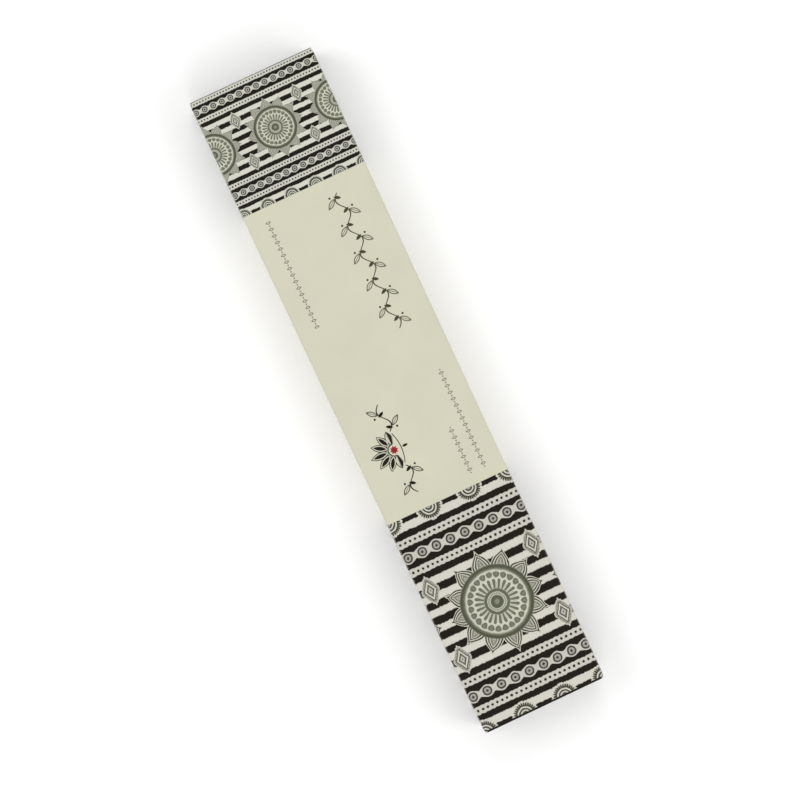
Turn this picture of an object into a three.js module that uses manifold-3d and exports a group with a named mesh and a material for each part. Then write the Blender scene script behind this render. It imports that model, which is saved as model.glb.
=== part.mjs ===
// A flat folding carton for incense sticks, of printed paperboard, with tucked ends.
// +X runs along the carton, +Y across its wide panels, +Z out of its front panel.
// The origin is the middle of the back panel, on which the carton lies.
// The head end is at -X: its closure hangs from the front panel and tucks in at the back.
// The foot end is at +X: its closure stands on the back panel and tucks in at the front.
import * as THREE from "three";
import { mergeVertices } from "three/addons/utils/BufferGeometryUtils.js";
import Module from "manifold-3d";

const wasm = await Module();
wasm.setup();

// Driving dimensions, in millimetres and degrees
const LENGTH = 235; // over both closures
const WIDTH = 45; // of the wide panels
const DEPTH = 18; // of the narrow sides
const BOARD = 0.4; // thickness of the paperboard
const FOLD_RADIUS = 0.6; // outside of a folded edge
const GAP = 0.3; // between pieces that meet at a crease

const FREE_EDGE_INSET = 0.7; // from the closure's face to a panel's uncreased edge
const FREE_CORNER_RADIUS = 1.4; // of the uncreased panel edges
const SEAM_LIFT = 0.15; // of the glued side's cut edge above the back panel's face
const GLUE_FLAP_HEIGHT = 12;
const GLUE_FLAP_TAPER = 20; // of its ends

const CLOSURE_WIDTH = 44.6;
const TAB_WIDTH = 43;
const TAB_LENGTH = 10; // from the fold to the tip
const TAB_LEAN = 18; // past square, which lets it swing clear of the wall
const TAB_CORNER_RADIUS = 5;

const DUST_FLAP_LENGTH = 19;
const DUST_FLAP_RELIEF = 2.8; // its clearance over the tuck tab, above the wall's outer face
const DUST_FLAP_SLOPE = 0.32; // rise of its shoulder for each millimetre towards the tip
const DUST_FLAP_CORNER_RADIUS = 2.5;

const ARC_STEPS = 5; // of a quarter turn
const CLEAR = 0.1; // by which a cut passes the fold that it ends beside
const PAST = 1; // by which a cut runs out of the board

// Finishes of the print and of the bare inside
const CREAM_PRINT = { color: 0xd6d4bc, roughness: 0.5, metalness: 0 };
const DARK_PRINT = { color: 0x5c5a50, roughness: 0.5, metalness: 0 };
const BARE_BOARD = { color: 0xc9c3b4, roughness: 0.6, metalness: 0 };

// Where the creases lie, measured inwards from the closure's outer face
const CLOSURE_CREASE = BOARD + GAP; // end of a panel that carries a closure
const DUST_FLAP_FACE = BOARD + GAP; // outer face of a dust flap
const SIDE_CREASE = DUST_FLAP_FACE + BOARD + GAP; // end of a side panel

const HALF_WIDTH = WIDTH / 2;
const HALF_LENGTH = LENGTH / 2;
const FOLD_INSIDE = FOLD_RADIUS - BOARD;
const INNER_HALF_WIDTH = HALF_WIDTH - BOARD;

// How a drawn outline is placed: a section is drawn in Y and Z and runs along X, a profile is drawn
// in X and Z and runs along -Y, and a plan is drawn in X and Y and runs along Z
const X = new THREE.Vector3(1, 0, 0);
const Y = new THREE.Vector3(0, 1, 0);
const Z = new THREE.Vector3(0, 0, 1);
const SECTION = new THREE.Matrix4().makeBasis(Y, Z, X);
const PROFILE = new THREE.Matrix4().makeBasis(X, Z, Y.clone().negate());
const PLAN = new THREE.Matrix4();

// A solid for joining and cutting, made from a closed geometry
function solidOf(geometry) {
  const bare = geometry.clone();
  bare.deleteAttribute("normal");
  bare.deleteAttribute("uv");
  const merged = mergeVertices(bare, 1e-4);
  return new wasm.Manifold(
    new wasm.Mesh({
      numProp: 3,
      vertProperties: new Float32Array(merged.attributes.position.array),
      triVerts: new Uint32Array(merged.index.array),
    }),
  );
}

function geometryOf(solid) {
  const mesh = solid.getMesh();
  const geometry = new THREE.BufferGeometry();
  geometry.setAttribute("position", new THREE.BufferAttribute(mesh.vertProperties, 3));
  geometry.setIndex(new THREE.BufferAttribute(mesh.triVerts, 1));
  const flat = geometry.toNonIndexed();
  flat.computeVertexNormals();
  return flat;
}

// An outline extruded from one level to another in the way that it is placed
function extruded(outline, from, to, placing) {
  const settings = { depth: to - from, bevelEnabled: false, curveSegments: ARC_STEPS };
  const geometry = new THREE.ExtrudeGeometry(outline, settings);
  geometry.translate(0, 0, from);
  geometry.applyMatrix4(placing);
  return solidOf(geometry);
}

// A block between two corners
function block(low, high) {
  const geometry = new THREE.BoxGeometry(high[0] - low[0], high[1] - low[1], high[2] - low[2]);
  const middle = low.map((value, axis) => (value + high[axis]) / 2);
  geometry.translate(...middle);
  return solidOf(geometry);
}

// A solid turned end for end about the carton's middle, so that the head end's shapes serve the foot
function turnedToFoot(solid) {
  return solid.rotate([0, 180, 0]).translate([0, 0, DEPTH]);
}

function mesh(name, solid, finish) {
  const made = new THREE.Mesh(geometryOf(solid), new THREE.MeshStandardMaterial(finish));
  made.name = name;
  return made;
}

// The sleeve's wall in section: four panels, with the glued side's cut edge at the back left
function wallSection() {
  const outer = new THREE.Shape();
  const right = HALF_WIDTH - FOLD_RADIUS;
  const top = DEPTH - FOLD_RADIUS;
  const seam = -INNER_HALF_WIDTH;
  outer.moveTo(seam + BOARD, 0);
  outer.absarc(right, FOLD_RADIUS, FOLD_RADIUS, -Math.PI / 2, 0);
  outer.absarc(right, top, FOLD_RADIUS, 0, Math.PI / 2);
  outer.absarc(-right, top, FOLD_RADIUS, Math.PI / 2, Math.PI);
  outer.lineTo(-HALF_WIDTH, SEAM_LIFT);
  outer.lineTo(seam, SEAM_LIFT);
  outer.absarc(seam + BOARD, BOARD, BOARD, Math.PI, 1.5 * Math.PI);

  const hole = new THREE.Path();
  hole.moveTo(right, BOARD);
  hole.absarc(-right, FOLD_RADIUS, FOLD_INSIDE, 1.5 * Math.PI, Math.PI, true);
  hole.absarc(-right, top, FOLD_INSIDE, Math.PI, Math.PI / 2, true);
  hole.absarc(right, top, FOLD_INSIDE, Math.PI / 2, 0, true);
  hole.absarc(right, FOLD_RADIUS, FOLD_INSIDE, 0, -Math.PI / 2, true);
  outer.holes.push(hole);
  return outer;
}

// The strip inside the left side that the side is glued to, with tapered ends
function glueFlap() {
  const root = HALF_LENGTH - SIDE_CREASE;
  const tip = root - GLUE_FLAP_HEIGHT * Math.tan(THREE.MathUtils.degToRad(GLUE_FLAP_TAPER));
  const glued = BOARD / 4;
  const outline = new THREE.Shape();
  outline.moveTo(-root, BOARD - glued);
  outline.lineTo(root, BOARD - glued);
  outline.lineTo(tip, GLUE_FLAP_HEIGHT);
  outline.lineTo(-tip, GLUE_FLAP_HEIGHT);
  outline.closePath();
  return extruded(outline, INNER_HALF_WIDTH - BOARD, INNER_HALF_WIDTH + glued, PROFILE);
}

// What is cut from the head end of the sleeve, so that each panel ends on its own crease
function headCuts() {
  const end = -HALF_LENGTH;
  const past = HALF_WIDTH + PAST;
  const low = FOLD_RADIUS + CLEAR;
  const high = DEPTH - low;
  const sides = block([end, -past, low], [end + SIDE_CREASE, past, high]);
  const front = block([end, -past, high - CLEAR], [end + CLOSURE_CREASE, past, DEPTH + PAST]);
  return [sides, front];
}

// The rounded corners of the back panel's free edge at the head end
function headCornerCuts() {
  const radius = FREE_CORNER_RADIUS;
  const corner = new THREE.Shape();
  corner.moveTo(-PAST, -PAST);
  corner.lineTo(radius, -PAST);
  corner.absarc(radius, radius, radius, 1.5 * Math.PI, Math.PI, true);
  corner.lineTo(-PAST, radius);
  corner.closePath();
  const cut = extruded(corner, -PAST, PAST, PLAN);
  const edge = FREE_EDGE_INSET - HALF_LENGTH;
  const right = cut.mirror([0, 1, 0]).translate([edge, HALF_WIDTH, 0]);
  const left = cut.translate([edge, -HALF_WIDTH, 0]);
  return [left, right];
}

// The end of the left side's glued edge, which stops at the side's own crease at both ends
function seamEndCuts() {
  const cutEnd = HALF_LENGTH - SIDE_CREASE;
  const low = -HALF_WIDTH - PAST;
  const high = CLEAR - INNER_HALF_WIDTH;
  const head = block([-HALF_LENGTH, low, -PAST], [-cutEnd, high, PAST]);
  const foot = block([cutEnd, low, -PAST], [HALF_LENGTH, high, PAST]);
  return [head, foot];
}

function sleeve() {
  const reach = HALF_LENGTH - FREE_EDGE_INSET;
  const headEnd = [...headCuts(), ...headCornerCuts()];
  const footEnd = headEnd.map(turnedToFoot);
  const tube = extruded(wallSection(), -reach, reach, SECTION);
  const cuts = [...headEnd, ...footEnd, ...seamEndCuts()];
  return cuts.reduce((body, cut) => body.subtract(cut), tube).add(glueFlap());
}

// The head closure: an end panel that turns in through a rounded fold to its tuck tab
function closure() {
  const lean = THREE.MathUtils.degToRad(TAB_LEAN);
  const along = new THREE.Vector2(Math.cos(lean), Math.sin(lean));
  const centre = new THREE.Vector2(FOLD_RADIUS, BOARD + GAP + FOLD_RADIUS);
  const lastAngle = 1.5 * Math.PI + lean;
  const tip = centre.clone().addScaledVector(along, TAB_LENGTH);
  const outward = new THREE.Vector2(along.y, -along.x);
  const tipOuter = tip.clone().addScaledVector(outward, FOLD_RADIUS);
  const tipInner = tip.clone().addScaledVector(outward, FOLD_INSIDE);

  // Drawn from the end's outer face inwards and from the back upwards. The panel stops as far below
  // the front face as the front panel stops from the end, so that it opens flush with that face.
  const profile = new THREE.Shape();
  profile.moveTo(BOARD, DEPTH - CLOSURE_CREASE);
  profile.lineTo(0, DEPTH - CLOSURE_CREASE);
  profile.absarc(centre.x, centre.y, FOLD_RADIUS, Math.PI, lastAngle);
  profile.lineTo(tipOuter.x, tipOuter.y);
  profile.lineTo(tipInner.x, tipInner.y);
  profile.absarc(centre.x, centre.y, FOLD_INSIDE, lastAngle, Math.PI, true);
  profile.closePath();
  const bent = extruded(profile, -CLOSURE_WIDTH / 2, CLOSURE_WIDTH / 2, PROFILE);

  const plan = new THREE.Shape();
  const halfTab = TAB_WIDTH / 2;
  const radius = TAB_CORNER_RADIUS;
  const shoulder = FOLD_RADIUS + GAP;
  plan.moveTo(-PAST, -WIDTH);
  plan.lineTo(shoulder, -WIDTH);
  plan.lineTo(shoulder, -halfTab);
  plan.absarc(tipInner.x - radius, radius - halfTab, radius, -Math.PI / 2, 0);
  plan.absarc(tipInner.x - radius, halfTab - radius, radius, 0, Math.PI / 2);
  plan.lineTo(shoulder, halfTab);
  plan.lineTo(shoulder, WIDTH);
  plan.lineTo(-PAST, WIDTH);
  plan.closePath();
  return bent.intersect(extruded(plan, -PAST, DEPTH + PAST, PLAN)).translate([-HALF_LENGTH, 0, 0]);
}

// The head end's right dust flap: a tapered plate folded in from the side panel
function rightDustFlap() {
  const root = HALF_WIDTH;
  const tip = HALF_WIDTH - DUST_FLAP_LENGTH;
  const low = DUST_FLAP_RELIEF;
  const rootHigh = DEPTH - BOARD - GAP;
  const radius = DUST_FLAP_CORNER_RADIUS;
  const slope = Math.atan(DUST_FLAP_SLOPE);
  const cornerHigh = rootHigh - DUST_FLAP_SLOPE * (DUST_FLAP_LENGTH - radius);
  const outline = new THREE.Shape();
  outline.moveTo(root, low);
  outline.lineTo(root, rootHigh);
  outline.absarc(
    tip + radius,
    cornerHigh - radius / Math.cos(slope),
    radius,
    Math.PI / 2 + slope,
    Math.PI,
  );
  outline.absarc(tip + radius, low + radius, radius, Math.PI, 1.5 * Math.PI);
  outline.closePath();
  const outerFace = DUST_FLAP_FACE - HALF_LENGTH;
  return extruded(outline, outerFace, outerFace + BOARD, SECTION);
}

const carton = new THREE.Group();
carton.add(mesh("sleeve", sleeve(), CREAM_PRINT));

// The foot end is the head end turned end for end, front to back
for (const end of ["head", "foot"]) {
  const place = new THREE.Group();
  if (end === "foot") {
    place.rotation.y = Math.PI;
    place.position.z = DEPTH;
  }
  const right = rightDustFlap();
  const left = right.mirror([0, 1, 0]);
  place.add(mesh(end + "_closure", closure(), DARK_PRINT));
  place.add(mesh(end + "_dust_flap_right", right, BARE_BOARD));
  place.add(mesh(end + "_dust_flap_left", left, BARE_BOARD));
  carton.add(place);
}

export default carton;
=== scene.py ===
"""A flat carton for incense sticks, of printed board: cut flat, scored and folded round its frame.

X runs along the carton, Y across its wide panels and Z out of its front panel. The head end is at -X.
"""

import math
from typing import NamedTuple

import bmesh
import bpy
from bpy.props import FloatProperty, FloatVectorProperty, PointerProperty
from mathutils import Matrix, Vector


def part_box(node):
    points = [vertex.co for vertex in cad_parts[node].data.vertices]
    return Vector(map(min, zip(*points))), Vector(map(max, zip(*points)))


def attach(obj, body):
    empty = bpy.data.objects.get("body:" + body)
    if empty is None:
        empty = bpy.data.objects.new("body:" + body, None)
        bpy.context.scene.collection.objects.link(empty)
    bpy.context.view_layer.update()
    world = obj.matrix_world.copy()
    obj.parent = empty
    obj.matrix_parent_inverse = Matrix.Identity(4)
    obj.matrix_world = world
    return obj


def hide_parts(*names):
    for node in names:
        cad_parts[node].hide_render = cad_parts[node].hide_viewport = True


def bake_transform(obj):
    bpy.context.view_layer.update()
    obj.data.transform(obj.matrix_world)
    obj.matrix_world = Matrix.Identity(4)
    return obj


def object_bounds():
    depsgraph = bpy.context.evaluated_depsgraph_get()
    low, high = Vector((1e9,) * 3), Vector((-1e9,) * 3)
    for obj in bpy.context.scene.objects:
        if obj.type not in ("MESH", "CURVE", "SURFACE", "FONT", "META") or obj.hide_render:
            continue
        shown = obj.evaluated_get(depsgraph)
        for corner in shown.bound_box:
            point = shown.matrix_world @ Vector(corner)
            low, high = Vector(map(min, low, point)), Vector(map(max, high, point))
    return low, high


bl_info = {
    "name": "Incense Stick Carton",
    "version": (1, 0, 0),
    "blender": (4, 5, 0),
    "location": "3D View > Sidebar > Carton",
    "description": "Cuts, scores and folds a printed carton for incense sticks",
    "category": "Object",
}

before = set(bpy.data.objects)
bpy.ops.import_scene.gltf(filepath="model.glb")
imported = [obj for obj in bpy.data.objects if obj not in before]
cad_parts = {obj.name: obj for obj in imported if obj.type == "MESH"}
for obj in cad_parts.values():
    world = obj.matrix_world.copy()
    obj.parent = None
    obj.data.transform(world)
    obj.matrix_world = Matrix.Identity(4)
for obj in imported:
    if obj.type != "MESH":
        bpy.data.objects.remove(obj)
cad_low, cad_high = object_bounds()

MM = 0.001
TINY = 1e-6
QUARTER = math.radians(90)

# Sizes that the frame gives
LENGTH = cad_high.x - cad_low.x
WIDTH = cad_high.y - cad_low.y
DEPTH = cad_high.z - cad_low.z
HALF_LENGTH = LENGTH / 2
HALF_WIDTH = WIDTH / 2
sleeve_low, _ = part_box("sleeve")
closure_low, closure_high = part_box("head_closure")
flap_low, flap_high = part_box("head_dust_flap_left")
FREE_EDGE_INSET = sleeve_low.x - cad_low.x
CLOSURE_WIDTH = closure_high.y - closure_low.y
TAB_TIP = closure_high.x - cad_low.x
FLAP_FACE = flap_low.x - cad_low.x
FLAP_TIP = HALF_WIDTH + flap_high.y
FLAP_FOOT = flap_low.z
FLAP_TOP = flap_high.z
BOARD = flap_high.x - flap_low.x


# Settings

def size_setting(name, description, default, low, high):
    return FloatProperty(
        name=name, description=description, default=default, min=low, max=high, precision=5,
        unit="LENGTH")


def angle_setting(name, description, degrees, low=-180, high=180):
    return FloatProperty(
        name=name, description=description, default=math.radians(degrees),
        min=math.radians(low), max=math.radians(high), unit="ROTATION")


def colour_setting(name, description, default):
    return FloatVectorProperty(
        name=name, description=description, subtype="COLOR", default=default, min=0, max=1)


class CartonSizes(bpy.types.PropertyGroup):
    """Sizes of the board and of its folds."""

    board: size_setting("Board", "Thickness of the paperboard", BOARD, 0.2 * MM, 0.5 * MM)
    fold_radius: size_setting(
        "Fold radius", "Outer radius of a folded edge", 0.6 * MM, 0.5 * MM, 0.8 * MM)
    free_corner: size_setting(
        "Free corner radius", "Rounding of a panel's uncreased corners", 1.3 * MM, 0.2 * MM, 1.4 * MM)
    tab_corner: size_setting(
        "Tab corner radius", "Rounding of a tuck tab's corners", 5 * MM, 1 * MM, 8 * MM)
    tab_lean: angle_setting("Tab lean", "How far a tuck tab leans past square", 18, 0, 25)
    front_bow: size_setting(
        "Front bow", "How far the front panel's middle stands proud", 0.28 * MM, 0, 0.5 * MM)
    side_bow: size_setting(
        "Side bow", "How far a side's middle stands proud", 0.12 * MM, 0, 0.3 * MM)


class CartonPrint(bpy.types.PropertyGroup):
    """Colours of the inks and of the board."""

    cream: colour_setting("Cream", "Ground of the plain panel", (0.586, 0.57, 0.447))
    light: colour_setting("Light", "Light parts of the ornament", (0.59, 0.568, 0.503))
    light_head: colour_setting(
        "Light at the head", "Light parts of the ornament at the head end", (0.59, 0.592, 0.512))
    dark: colour_setting("Dark", "Dark ink of the stripes", (0.0068, 0.0045, 0.0010))
    green_light: colour_setting("Pale green", "Light parts of the rosettes", (0.56, 0.57, 0.455))
    green_dark: colour_setting("Green", "Dark ink of the rosettes", (0.05, 0.053, 0.029))
    olive: colour_setting("Olive", "Fine lines on the plain panel", (0.05, 0.047, 0.026))
    red: colour_setting("Red", "Florets on the plain panel", (0.26, 0.012, 0.02))
    board: colour_setting("Board", "Bare inside of the board", (0.56, 0.54, 0.48))


class CartonStudio(bpy.types.PropertyGroup):
    """The floor, the lights and the camera."""

    floor: colour_setting("Floor", "Colour of the floor", (0.96, 0.96, 0.96))
    light_power: FloatProperty(
        name="Light power", description="Power of each soft light", default=2.65,
        min=0, max=100, unit="POWER")
    sky: FloatProperty(
        name="Sky", description="Strength of the light from all round", default=0.75, min=0, max=3)
    distance: size_setting("Camera distance", "From the front panel to the camera", 0.7, 0.3, 3)
    lens: FloatProperty(
        name="Lens", description="Focal length on a 36 mm sensor", default=93.505,
        min=20, max=300, unit="CAMERA")
    aim_along: size_setting(
        "Aim along", "Where the camera looks, along the carton", 1.98 * MM, -1, 1)
    aim_across: size_setting(
        "Aim across", "Where the camera looks, across the carton", -0.66 * MM, -1, 1)
    tilt_along: angle_setting("Tilt along", "Lean of the view towards the foot end", -3.425)
    tilt_across: angle_setting("Tilt across", "Lean of the view towards the right side", -1.365)
    turn: angle_setting("Turn", "Turn of the picture round the line of sight", 64.828)


# Node trees

class Field:
    """A number that varies over the surface. Arithmetic on it adds Math nodes to its tree."""

    def __init__(self, tree, socket):
        self.tree = tree
        self.socket = socket

    def __add__(self, other):
        return math_node("ADD", self, other)

    __radd__ = __add__

    def __sub__(self, other):
        return math_node("SUBTRACT", self, other)

    def __rsub__(self, other):
        return math_node("SUBTRACT", other, self)

    def __mul__(self, other):
        return math_node("MULTIPLY", self, other)

    def __truediv__(self, other):
        return math_node("DIVIDE", self, other)

    def __abs__(self):
        return math_node("ABSOLUTE", self)


def math_node(operation, *values, clamp=False):
    """One Math node fed by fields and plain numbers."""
    tree = next(value.tree for value in values if isinstance(value, Field))
    node = tree.nodes.new("ShaderNodeMath")
    node.operation = operation
    node.use_clamp = clamp
    for socket, value in zip(node.inputs, values):
        feed(tree, value, socket)
    return Field(tree, node.outputs[0])


def feed(tree, value, socket):
    """Links a field to a socket, or sets a plain value on it."""
    if isinstance(value, Field):
        tree.links.new(value.socket, socket)
    else:
        socket.default_value = value


def lowest(*values):
    found = values[0]
    for value in values[1:]:
        found = math_node("MINIMUM", found, value)
    return found


def highest(*values):
    found = values[0]
    for value in values[1:]:
        found = math_node("MAXIMUM", found, value)
    return found


def to_nearest(value, period):
    """Distance to the nearest multiple of a period."""
    return math_node("PINGPONG", value, period / 2)


def length_of(x, y):
    return math_node("SQRT", math_node("MULTIPLY_ADD", x, x, y * y))


def inside(distance, soft):
    """1 where a distance is below zero and 0 where it is above, softened over a width."""
    return math_node("MULTIPLY_ADD", distance, -1 / soft, 0.5, clamp=True)


def over(below, cover, above):
    """What shows where a layer lies over another one."""
    return math_node("MULTIPLY_ADD", above - below, cover, below)


def rings(distance, steps, soft):
    """A tone that changes in steps with a distance: each step holds where it ends and its tone."""
    tree = distance.tree
    reach = steps[-1][0]
    node = tree.nodes.new("ShaderNodeValToRGB")
    tree.links.new((distance / reach).socket, node.inputs[0])
    ramp = node.color_ramp
    stops = [(0.0, steps[0][1])]
    for (end, tone), (_, following) in zip(steps, steps[1:]):
        stops.append(((end - soft / 2) / reach, tone))
        stops.append(((end + soft / 2) / reach, following))
    stops.append((1.0, steps[-1][1]))
    ramp.elements[0].position, ramp.elements[1].position = 0.0, 1.0
    for position, _ in stops[1:-1]:
        ramp.elements.new(position)
    for element, (_, tone) in zip(ramp.elements, stops):
        element.color = (tone, tone, tone, 1)
    return Field(tree, node.outputs["Color"])


def noise(tree, place, size, detail=2.0):
    """Noise whose patches are about that size, from 0 to 1."""
    node = tree.nodes.new("ShaderNodeTexNoise")
    node.noise_dimensions = "3D"
    feed(tree, place, node.inputs["Vector"])
    feed(tree, 1 / size, node.inputs["Scale"])
    node.inputs["Detail"].default_value = detail
    return Field(tree, node.outputs["Fac"])


def split(place):
    node = place.tree.nodes.new("ShaderNodeSeparateXYZ")
    place.tree.links.new(place.socket, node.inputs[0])
    return Field(place.tree, node.outputs[0]), Field(place.tree, node.outputs[1])


def join(x, y):
    tree = x.tree
    node = tree.nodes.new("ShaderNodeCombineXYZ")
    feed(tree, x, node.inputs[0])
    feed(tree, y, node.inputs[1])
    return Field(tree, node.outputs[0])


def mixed_colour(tree, factor, first, second):
    node = tree.nodes.new("ShaderNodeMix")
    node.data_type = "RGBA"
    feed(tree, factor, node.inputs["Factor"])
    for name, colour in (("A", first), ("B", second)):
        socket = next(s for s in node.inputs if s.name == name and s.type == "RGBA")
        feed(tree, colour if isinstance(colour, Field) else (*colour, 1), socket)
    return Field(tree, next(s for s in node.outputs if s.type == "RGBA"))


def built_effect(name):
    """An effect's node group, from the table of effects. Every socket but the place is a number."""
    fill, takes, gives = EFFECTS[name]
    tree = bpy.data.node_groups.new(name, "ShaderNodeTree")
    for way, sockets in (("INPUT", takes), ("OUTPUT", gives)):
        for socket in sockets:
            kind = "NodeSocketVector" if socket == "Place" else "NodeSocketFloat"
            tree.interface.new_socket(socket, in_out=way, socket_type=kind)
    entry = tree.nodes.new("NodeGroupInput")
    made = fill(tree, *(Field(tree, entry.outputs[socket]) for socket in takes))
    leave = tree.nodes.new("NodeGroupOutput")
    for socket, value in zip(gives, made):
        feed(tree, value, leave.inputs[socket])
    arrange(tree)
    return tree


def placed(effect, tree, *values):
    """Places an effect in a tree, fed in the order of its inputs, and returns its outputs."""
    node = tree.nodes.new("ShaderNodeGroup")
    node.node_tree = bpy.data.node_groups.get(effect) or built_effect(effect)
    for socket, value in zip(node.inputs, values):
        feed(tree, value, socket)
    found = [Field(tree, socket) for socket in node.outputs]
    return found if len(found) > 1 else found[0]


def arrange(tree):
    """Sets out a tree's nodes in columns, each to the right of what feeds it."""
    column, rows = {}, {}
    for node in tree.nodes:
        feeders = [link.from_node for socket in node.inputs for link in socket.links]
        column[node.name] = max((column.get(f.name, 0) + 1 for f in feeders), default=0)
        row = rows.get(column[node.name], 0)
        rows[column[node.name]] = row + 1
        node.location = (220 * column[node.name], -180 * row)


# The ornament. Its places are in millimetres on the sheet, printed at the large scale

SOFT = 0.13  # width over which an inked edge fades
ORNAMENT_HALF = 39.3  # from a rosette's middle to the medallions' line, along the carton
DISC = 12.5
PETAL_TIP = 17.15
PETAL_TIP_SPREAD = 0.5  # petals reach farther along the carton than across it
PETAL_HALF_WIDTH = 3.1
PETAL_RIM = 0.34  # of dark ink outside a petal's edge
PETAL_TURN = math.radians(30)
LEAF_TURN = math.radians(15)
LOZENGE_LINE = 12.95
LOZENGE_HALF_LENGTH = 5.2
LOZENGE_HALF_WIDTH = 3.25
BEAD_LINE = 26.2
BEAD_PITCH = 5.34
DOT_LINES = (20.9, 31.25)
DOT_BAND_HALF = 1.48
DOT_PITCH = 1.82
MEDALLION_PITCH = 15.0
SCALLOP_TURN = math.radians(15)
DASH_START = 37.65
DASH_HALF = 3.2
DASH_CORNER = 0.7


def build_rosette(tree, along, across, fineness):
    """A round flower of twelve petals, over rings of small leaves. Coarse print runs its lines together."""
    radius = length_of(along, across)
    angle = math_node("ARCTAN2", across, along)
    turn = to_nearest(angle, PETAL_TURN)
    aside = radius * math_node("SINE", turn)
    out = radius * math_node("COSINE", turn)
    tip = math_node("COSINE", angle * 2) * PETAL_TIP_SPREAD + PETAL_TIP
    share = (out - DISC + 0.3) / (tip - DISC + 0.3)
    arch = (1 - share * share) * PETAL_HALF_WIDTH
    point = (tip - out + 0.5) * 0.45
    depth = (highest(arch, point) - aside) * 0.75
    petal_cover = math_node("MULTIPLY_ADD", depth, 1 / SOFT, PETAL_RIM / SOFT, clamp=True)
    petals = rings(
        depth + PETAL_RIM,
        [(0.3, 0.05), (0.7, 1.0), (1.0, 0.0), (1.4, 0.95), (1.7, 0.15), (2.1, 0.7), (2.7, 0.3)],
        SOFT)
    seed = length_of(out - 13.7, aside)
    petals = highest(petals, inside(abs(seed - 0.45) - 0.15, SOFT) * 0.75)
    petals = over(0.42, fineness, petals)

    # Twenty-four club-shaped leaves stand round the middle, with dark buds between their tips
    turn = to_nearest(angle, LEAF_TURN)
    aside = radius * math_node("SINE", turn)
    other = radius * math_node("SINE", LEAF_TURN / 2 - turn)
    leaf_half = radius * 0.085 - 0.07
    leaves = inside(length_of(highest(radius - 7.2, 0.0), aside) - leaf_half, SOFT)
    parting = inside(highest(other - 0.08, radius - 6.9), SOFT)
    swell = (radius - 9.25) / 1.12
    fourth = swell * swell * swell * swell
    bud = other - (1 - fourth) * (swell * 0.4 + 1) * 1.05
    buds = rings(bud + 1.0, [(0.3, 0.76), (0.97, 0.83), (2.5, 0.08)], SOFT)
    bead = length_of(radius - 2.85, other * 0.9)
    beads = rings(bead, [(0.3, 0.65), (0.9, 0.18)], SOFT)

    disc = rings(
        radius,
        [(0.3, 0.8), (0.75, 0.62), (1.1, 0.84), (2.25, 0.92), (3.42, 0.22), (4.5, 0.87), (10.85, 0.14),
         (11.1, 0.5), (11.45, 0.8), (11.8, 0.9), (12.6, 0.96), (13.0, 0.8), (19.0, 0.3)],
        SOFT)
    disc = over(disc, inside(abs(radius - 2.85) - 0.5, SOFT), beads)
    disc = over(disc, inside(abs(radius - 6.2) - 1.65, SOFT), highest(leaves * 0.83, parting * 0.6))
    disc = over(disc, inside(abs(radius - 9.2) - 1.25, SOFT), buds)
    disc_cover = inside(radius - DISC - 0.35, 0.4)
    ink = over(petals, disc_cover, disc)
    return [highest(petal_cover, disc_cover), ink, over(0.5, disc_cover, 1.0)]


def build_lozenge(tree, along, across):
    """A lozenge in three outlines with a fringe of small lobes."""
    reach = along / LOZENGE_HALF_LENGTH + across / LOZENGE_HALF_WIDTH
    rounded = length_of(along / 5.4, across / 3.4)
    fringe = reach * 0.6 + rounded * 0.4
    lobe = to_nearest(along - across * 0.6, 1.3)
    ink = rings(
        reach,
        [(0.09, 0.9), (0.21, 0.15), (0.32, 0.5), (0.46, 0.95), (0.65, 0.04), (0.77, 0.9), (1.6, 0.48)],
        0.05)
    parting = inside(0.45 - lobe, 0.12) * inside(abs(fringe - 0.82) - 0.1, 0.05)
    ink = highest(ink, parting * 0.85)
    halo = inside(0.93 - fringe - lobe * 0.1, 0.06)
    return [inside(fringe - 1.04 + lobe * 0.12, 0.06), over(ink, halo, 0.08)]


def build_bead_chain(tree, aside, across):
    """Light beads with dark rings, joined in a chain."""
    step = to_nearest(across, BEAD_PITCH)
    radius = length_of(aside, step)
    cross = inside(lowest(aside, step) - 0.13, SOFT) * inside(radius - 1.2, SOFT)
    bead = rings(radius, [(0.45, 0.95), (1.1, 0.42), (1.68, 0.93), (4.0, 0.13)], SOFT)
    neck = aside + (BEAD_PITCH / 2 - step) * -0.48 - 1.1
    chain = lowest(radius - 2.15, highest(neck, 0.93 - step))
    return [over(1.0, inside(chain, SOFT), highest(bead, cross * 0.65))]


def build_medallion(tree, aside, across):
    """A ringed disc with a dark feathered fringe and parted light scallops."""
    radius = length_of(aside, across)
    angle = math_node("ARCTAN2", aside, across)
    slit = to_nearest(angle, math.radians(12)) * radius
    fringe = inside(highest(radius - 4.1, (radius - 3.3) * 0.2 - slit), SOFT)
    scallop = to_nearest(angle + SCALLOP_TURN / 2, SCALLOP_TURN)
    parting = inside(highest((SCALLOP_TURN / 2 - scallop) * 4.5 - 0.1, 4.0 - radius), SOFT)
    ink = rings(
        radius,
        [(0.35, 0.75), (0.6, 0.2), (1.25, 0.92), (1.75, 0.08), (2.3, 0.95), (2.8, 0.04), (5.4, 0.95)],
        SOFT)
    ink = over(ink, inside(3.0 - radius, SOFT), highest(fringe * 0.95, parting * 0.5))
    return [highest(inside(radius - 4.9 + scallop * 2.2, SOFT), inside(across * 1.5 + aside - 5.1, SOFT)),
            ink]


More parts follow.
